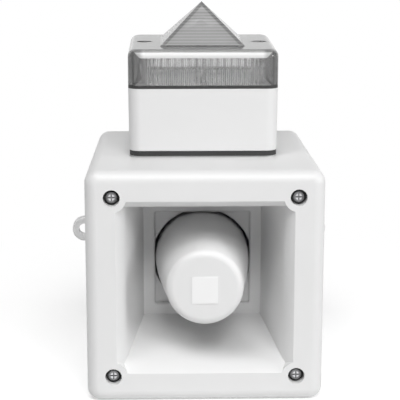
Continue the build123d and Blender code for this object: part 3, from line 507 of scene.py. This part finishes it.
def lens_masks(graph):
    """Where the lens shows each part of its walls, and above them the pyramid's hips, ribs and the shelf,
    for haze, a painted highlight and painted shade.
    """
    low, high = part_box("lens")
    place = graph.place()
    across = graph.axis(place, "X").size()
    along = (graph.axis(place, "Y") - (low[1] + high[1]) / 2).size()
    drop = LENS_SHOULDER - graph.axis(place, "Z")
    masks = wall_masks(graph, drop, across, along)
    above = (0 - drop).after(SHELF_BAND, SHELF_BLUR)
    masks["above"] = above
    masks["hip"] = above * (across.most(along) - across.least(along)).before(HIP_BAND, LINE_BLUR)
    masks["ribs"] = above * graph.comb(drop, RIB_PITCH)
    masks["shelf"] = (1 - masks["wall"]) * (1 - above)
    return masks


def clear_moulding(name):
    """Clear moulding: a window in each wall, a painted highlight on the bevel above it, and painted shade on
    the thick corners, rim, flutes, hips, ribs, shelf and walls seen edge-on.
    """
    graph = Graph(name)
    masks = lens_masks(graph)
    flow = graph.noise(20 * MM)
    dust = graph.noise(1.2 * MM, detail=3.0, roughness=0.7)
    facing = graph.node("ShaderNodeLayerWeight", {}, {"Blend": 0.5}, output="Facing")
    graph.set(
        Base_Color=graph.blend(flow, grey(0.86), grey(0.92)),
        Roughness=0.05 + 0.05 * dust,
        Transmission_Weight=1.0,
        IOR=CLEAR_INDEX,
        Normal=graph.bump(flow, 0.06 * MM),
    )
    # White haze, lighter on the bevel as a painted highlight
    haze_with_painted_highlight = graph.second_shader(
        Base_Color=graph.blend(masks["bevel_highlight"], grey(0.62), grey(0.74)),
        Roughness=0.35,
    )
    # Dark glass that is mixed in as painted shade
    painted_shade_glass = graph.second_shader(
        Base_Color=grey(0.06),
        Roughness=0.12,
        Transmission_Weight=0.5,
        IOR=CLEAR_INDEX,
    )
    # Milky haze all over and more on the top, plus a painted highlight on the bevel
    haze_and_painted_highlight = 0.12 + 0.1 * dust + 0.8 * masks["bevel_highlight"] + 0.3 * masks["above"]
    # Painted shade on the corners, rim, flutes, hips, ribs and shelf, and on walls seen edge-on
    painted_shade = 0.42 * masks["corner"] + 0.8 * masks["rim"] + 0.34 * masks["flutes"]
    painted_shade = painted_shade + 0.42 * masks["hip"] + 0.3 * masks["ribs"] + 0.5 * masks["shelf"]
    painted_shade = painted_shade + ((facing - TURNED_AWAY) * TURNING_RATE).clamp(0.0, TURNING_LIMIT)
    hazy = graph.mix_shader(haze_and_painted_highlight.clamp(), graph.main_shader(), haze_with_painted_highlight)
    graph.show(graph.mix_shader(painted_shade.clamp(0.0, MOST_PAINTED_SHADE), hazy, painted_shade_glass))
    return graph.material


def tube_glass(name):
    """Quartz tube with a faint bloom of metal in patches."""
    graph = Graph(name)
    bloom = graph.noise(4 * MM)
    graph.set(
        Base_Color=graph.blend(bloom, grey(0.55), grey(0.75)),
        Roughness=0.05 + 0.05 * bloom,
        Transmission_Weight=0.75,
        IOR=GLASS_INDEX,
        Normal=graph.bump(bloom, 0.02 * MM),
    )
    return graph.material


# Washers under the front screws

def washer_profile(front, back):
    """Pairs of radius and Y round the washer's section, with a rounded outer edge."""
    edge = WASHER_RADIUS - WASHER_ROUNDING
    points = [(WASHER_BORE_RADIUS, back), (WASHER_BORE_RADIUS, front)]
    for step in range(ROUNDING_STEPS + 1):
        turn = math.pi / 2 * step / ROUNDING_STEPS
        points.append((edge + WASHER_ROUNDING * math.sin(turn),
                       front + WASHER_ROUNDING * (1 - math.cos(turn))))
    points.append((WASHER_RADIUS, back))
    return points


def turn_washer(mesh, x, z, profile):
    """Turns the profile round a screw's axis."""
    rings = []
    for step in range(WASHER_SEGMENTS):
        turn = 2 * math.pi * step / WASHER_SEGMENTS
        rings.append([mesh.verts.new((x + radius * math.cos(turn), y, z + radius * math.sin(turn)))
                      for radius, y in profile])
    for ring, following in zip(rings, rings[1:] + rings[:1]):
        for index in range(len(profile)):
            after = (index + 1) % len(profile)
            mesh.faces.new((ring[index], following[index], following[after], ring[after]))


def add_washers(material):
    """Wide rubber washers that fill the floor of the screws' recesses: real seals, made wider than those of
    the frame so their black also stands in for the recess's shade.
    """
    low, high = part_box("screw_seals")
    profile = washer_profile(low[1], high[1])
    mesh = bmesh.new()
    for x in (-SCREW_REACH, SCREW_REACH):
        for z in (-SCREW_REACH, SCREW_REACH):
            turn_washer(mesh, x, z, profile)
    bmesh.ops.recalc_face_normals(mesh, faces=mesh.faces)
    data = bpy.data.meshes.new("screw_washers")
    mesh.to_mesh(data)
    mesh.free()
    data.materials.append(material)
    piece = bpy.data.objects.new("screw_washers", data)
    bpy.context.scene.collection.objects.link(piece)
    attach(piece, "housing")
    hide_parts("screw_seals")


# Finish of each solid

def dress(material, *nodes):
    """Gives solids of the frame a material."""
    for node in nodes:
        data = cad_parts[node].data
        data.materials.clear()
        data.materials.append(material)


def dress_shells():
    """The white mouldings, the label, the seals and the clear lens."""
    dress(moulded("shell_white", WHITE), "rear_housing", "front_horn", "horn_cup", "horn_bowl",
          "throat_tube", "beacon_base", "blanking_plug", "plug_locknut")
    dress(bare_label("label_white", grey(0.92)), "label_plate")
    dress(moulded("reflector_white", grey(0.62), roughness=0.3), "reflector_plate")
    rubber = soft_rubber("seal_rubber", SEAL)
    dress(rubber, "housing_seal", "screw_seals", "plug_seal", "bowl_seal", "driver_gasket",
          "beacon_gasket", "lens_seal")
    add_washers(rubber)
    dress(clear_moulding("clear_lens"), "lens")
    dress(tube_glass("tube_glass"), "xenon_tube")


def dress_metal():
    """Screws, plates, inserts, windings and the iron of the driver and the transformer."""
    dress(screw_head("head_steel", STEEL), "front_screws")
    dress(worked_metal("screw_steel", STEEL), "bowl_screws", "driver_screws", "cover_screws",
          "board_screws", "terminal_screws", "beacon_screws", "beacon_nuts", "beacon_board_screws",
          "lens_screws")
    dress(worked_metal("plate_steel", STEEL, roughness=0.38, marks=ROLLED_MARKS), "top_plate", "back_plate")
    dress(worked_metal("turned_brass", BRASS, roughness=0.28), "housing_inserts", "lens_inserts",
          "driver_tags")
    dress(wound_wire("wound_copper", COPPER), "voice_coil", "transformer_winding", "trigger_coil")
    dress(sintered("ferrite", FERRITE), "magnet")
    dress(stacked_sheet("core_sheet", CORE), "transformer_core")


def dress_electrics():
    """Boards, terminals, controls, capacitors and the driver's plastics."""
    dress(moulded("black_moulding", BLACK, roughness=0.5, tone=0.15), "driver_cover", "clamp_ring",
          "tone_switch_body", "volume_body", "tube_holder", "inverter_transformer")
    dress(moulded("pale_moulding", PALE, roughness=0.4), "volume_rotor",
          *(f"tone_slider_{number}" for number in range(1, 6)))
    dress(moulded("terminal_green", GREEN, roughness=0.35, tone=0.1), "terminal_block", "beacon_terminals")
    dress(circuit_board("board_green", BOARD), "sounder_board", "beacon_board")
    dress(formed_film("diaphragm_film", FILM), "diaphragm")
    dress(moulded("can_sleeve", SLEEVE, roughness=0.3, tone=0.1, coat=0.3), "capacitors", "flash_capacitor")


# Studio

def add_camera():
    data = bpy.data.cameras.new("camera")
    data.sensor_width = SENSOR_WIDTH
    data.lens = FOCAL_PIXELS * SENSOR_WIDTH / PICTURE_WIDTH
    data.clip_start = NEAREST_SEEN
    data.clip_end = FARTHEST_SEEN
    camera = bpy.data.objects.new("camera", data)
    camera.location = CAMERA_PLACE
    camera.rotation_euler = Euler((math.pi / 2 - CAMERA_PITCH, CAMERA_ROLL, -CAMERA_YAW))
    bpy.context.scene.collection.objects.link(camera)
    bpy.context.scene.camera = camera


def add_lamp(name, place, size, power):
    """A soft square lamp that looks at the sounder."""
    data = bpy.data.lights.new(name, "AREA")
    data.shape = "SQUARE"
    data.size = size
    data.energy = power
    lamp = bpy.data.objects.new(name, data)
    lamp.location = place
    lamp.rotation_euler = (Vector(LAMP_TARGET) - Vector(place)).to_track_quat("-Z", "Y").to_euler()
    bpy.context.scene.collection.objects.link(lamp)


def light_path_white(graph):
    """1 where the camera, a mirror or glass looks at the background."""
    camera, mirror, glass = (graph.node("ShaderNodeLightPath", output=name)
                             for name in ("Is Camera Ray", "Is Glossy Ray", "Is Transmission Ray"))
    return (camera + mirror + glass).clamp()


class WorldGraph(Graph):
    """The nodes of the world's background."""

    def __init__(self, world):
        world.use_nodes = True
        self.nodes = world.node_tree.nodes
        self.links = world.node_tree.links
        self.shader = self.nodes["Background"]


def add_world():
    """A background that looks white but gives the object only a little light."""
    world = bpy.data.worlds.new("studio")
    bpy.context.scene.world = world
    graph = WorldGraph(world)
    graph.set(Color=grey(1.0), Strength=WORLD_LIGHT + (1 - WORLD_LIGHT) * light_path_white(graph))


def floor_paper():
    """Pale paper that fades into the white background away from the object."""
    graph = Graph("floor_paper")
    white = light_path_white(graph)
    fibre = graph.noise(4 * MM, detail=3.0)
    distance = graph.node("ShaderNodeVectorMath", {"operation": "LENGTH"}, {0: graph.place()},
                          output="Value")
    far = ((distance - FLOOR_NEAR) / (FLOOR_FAR - FLOOR_NEAR)).clamp()
    graph.set(
        Base_Color=graph.blend(fibre, grey(0.78), grey(0.82)),
        Roughness=0.85,
        Emission_Color=graph.blend(white, grey(0.0), grey(FLOOR_GLOW)),
        Emission_Strength=1.0,
    )
    glow = graph.node("ShaderNodeEmission", {}, {"Color": grey(1.0), "Strength": 1.0})
    graph.show(graph.mix_shader(far * white, graph.main_shader(), glow))
    return graph.material


def add_floor():
    """A square sheet of paper under the object."""
    half = FLOOR_SIZE / 2
    data = bpy.data.meshes.new("floor")
    corners = [(-half, -half, 0), (half, -half, 0), (half, half, 0), (-half, half, 0)]
    data.from_pydata(corners, [], [(0, 1, 2, 3)])
    data.materials.append(floor_paper())
    floor = bpy.data.objects.new("floor", data)
    floor.location = (0.0, (cad_low[1] + cad_high[1]) / 2, cad_low[2])
    bpy.context.scene.collection.objects.link(floor)


def add_studio():
    add_camera()
    add_world()
    add_floor()
    add_lamp("key", place=(0.5, -2.6, 2.7), size=1.6, power=62.0)
    add_lamp("top", place=(-0.9, -1.6, 3.0), size=1.6, power=47.0)
    add_lamp("right", place=(2.6, -1.3, 0.9), size=1.2, power=31.0)
    bpy.context.scene.view_settings.view_transform = "Standard"


dress_shells()
dress_metal()
dress_electrics()
add_studio()
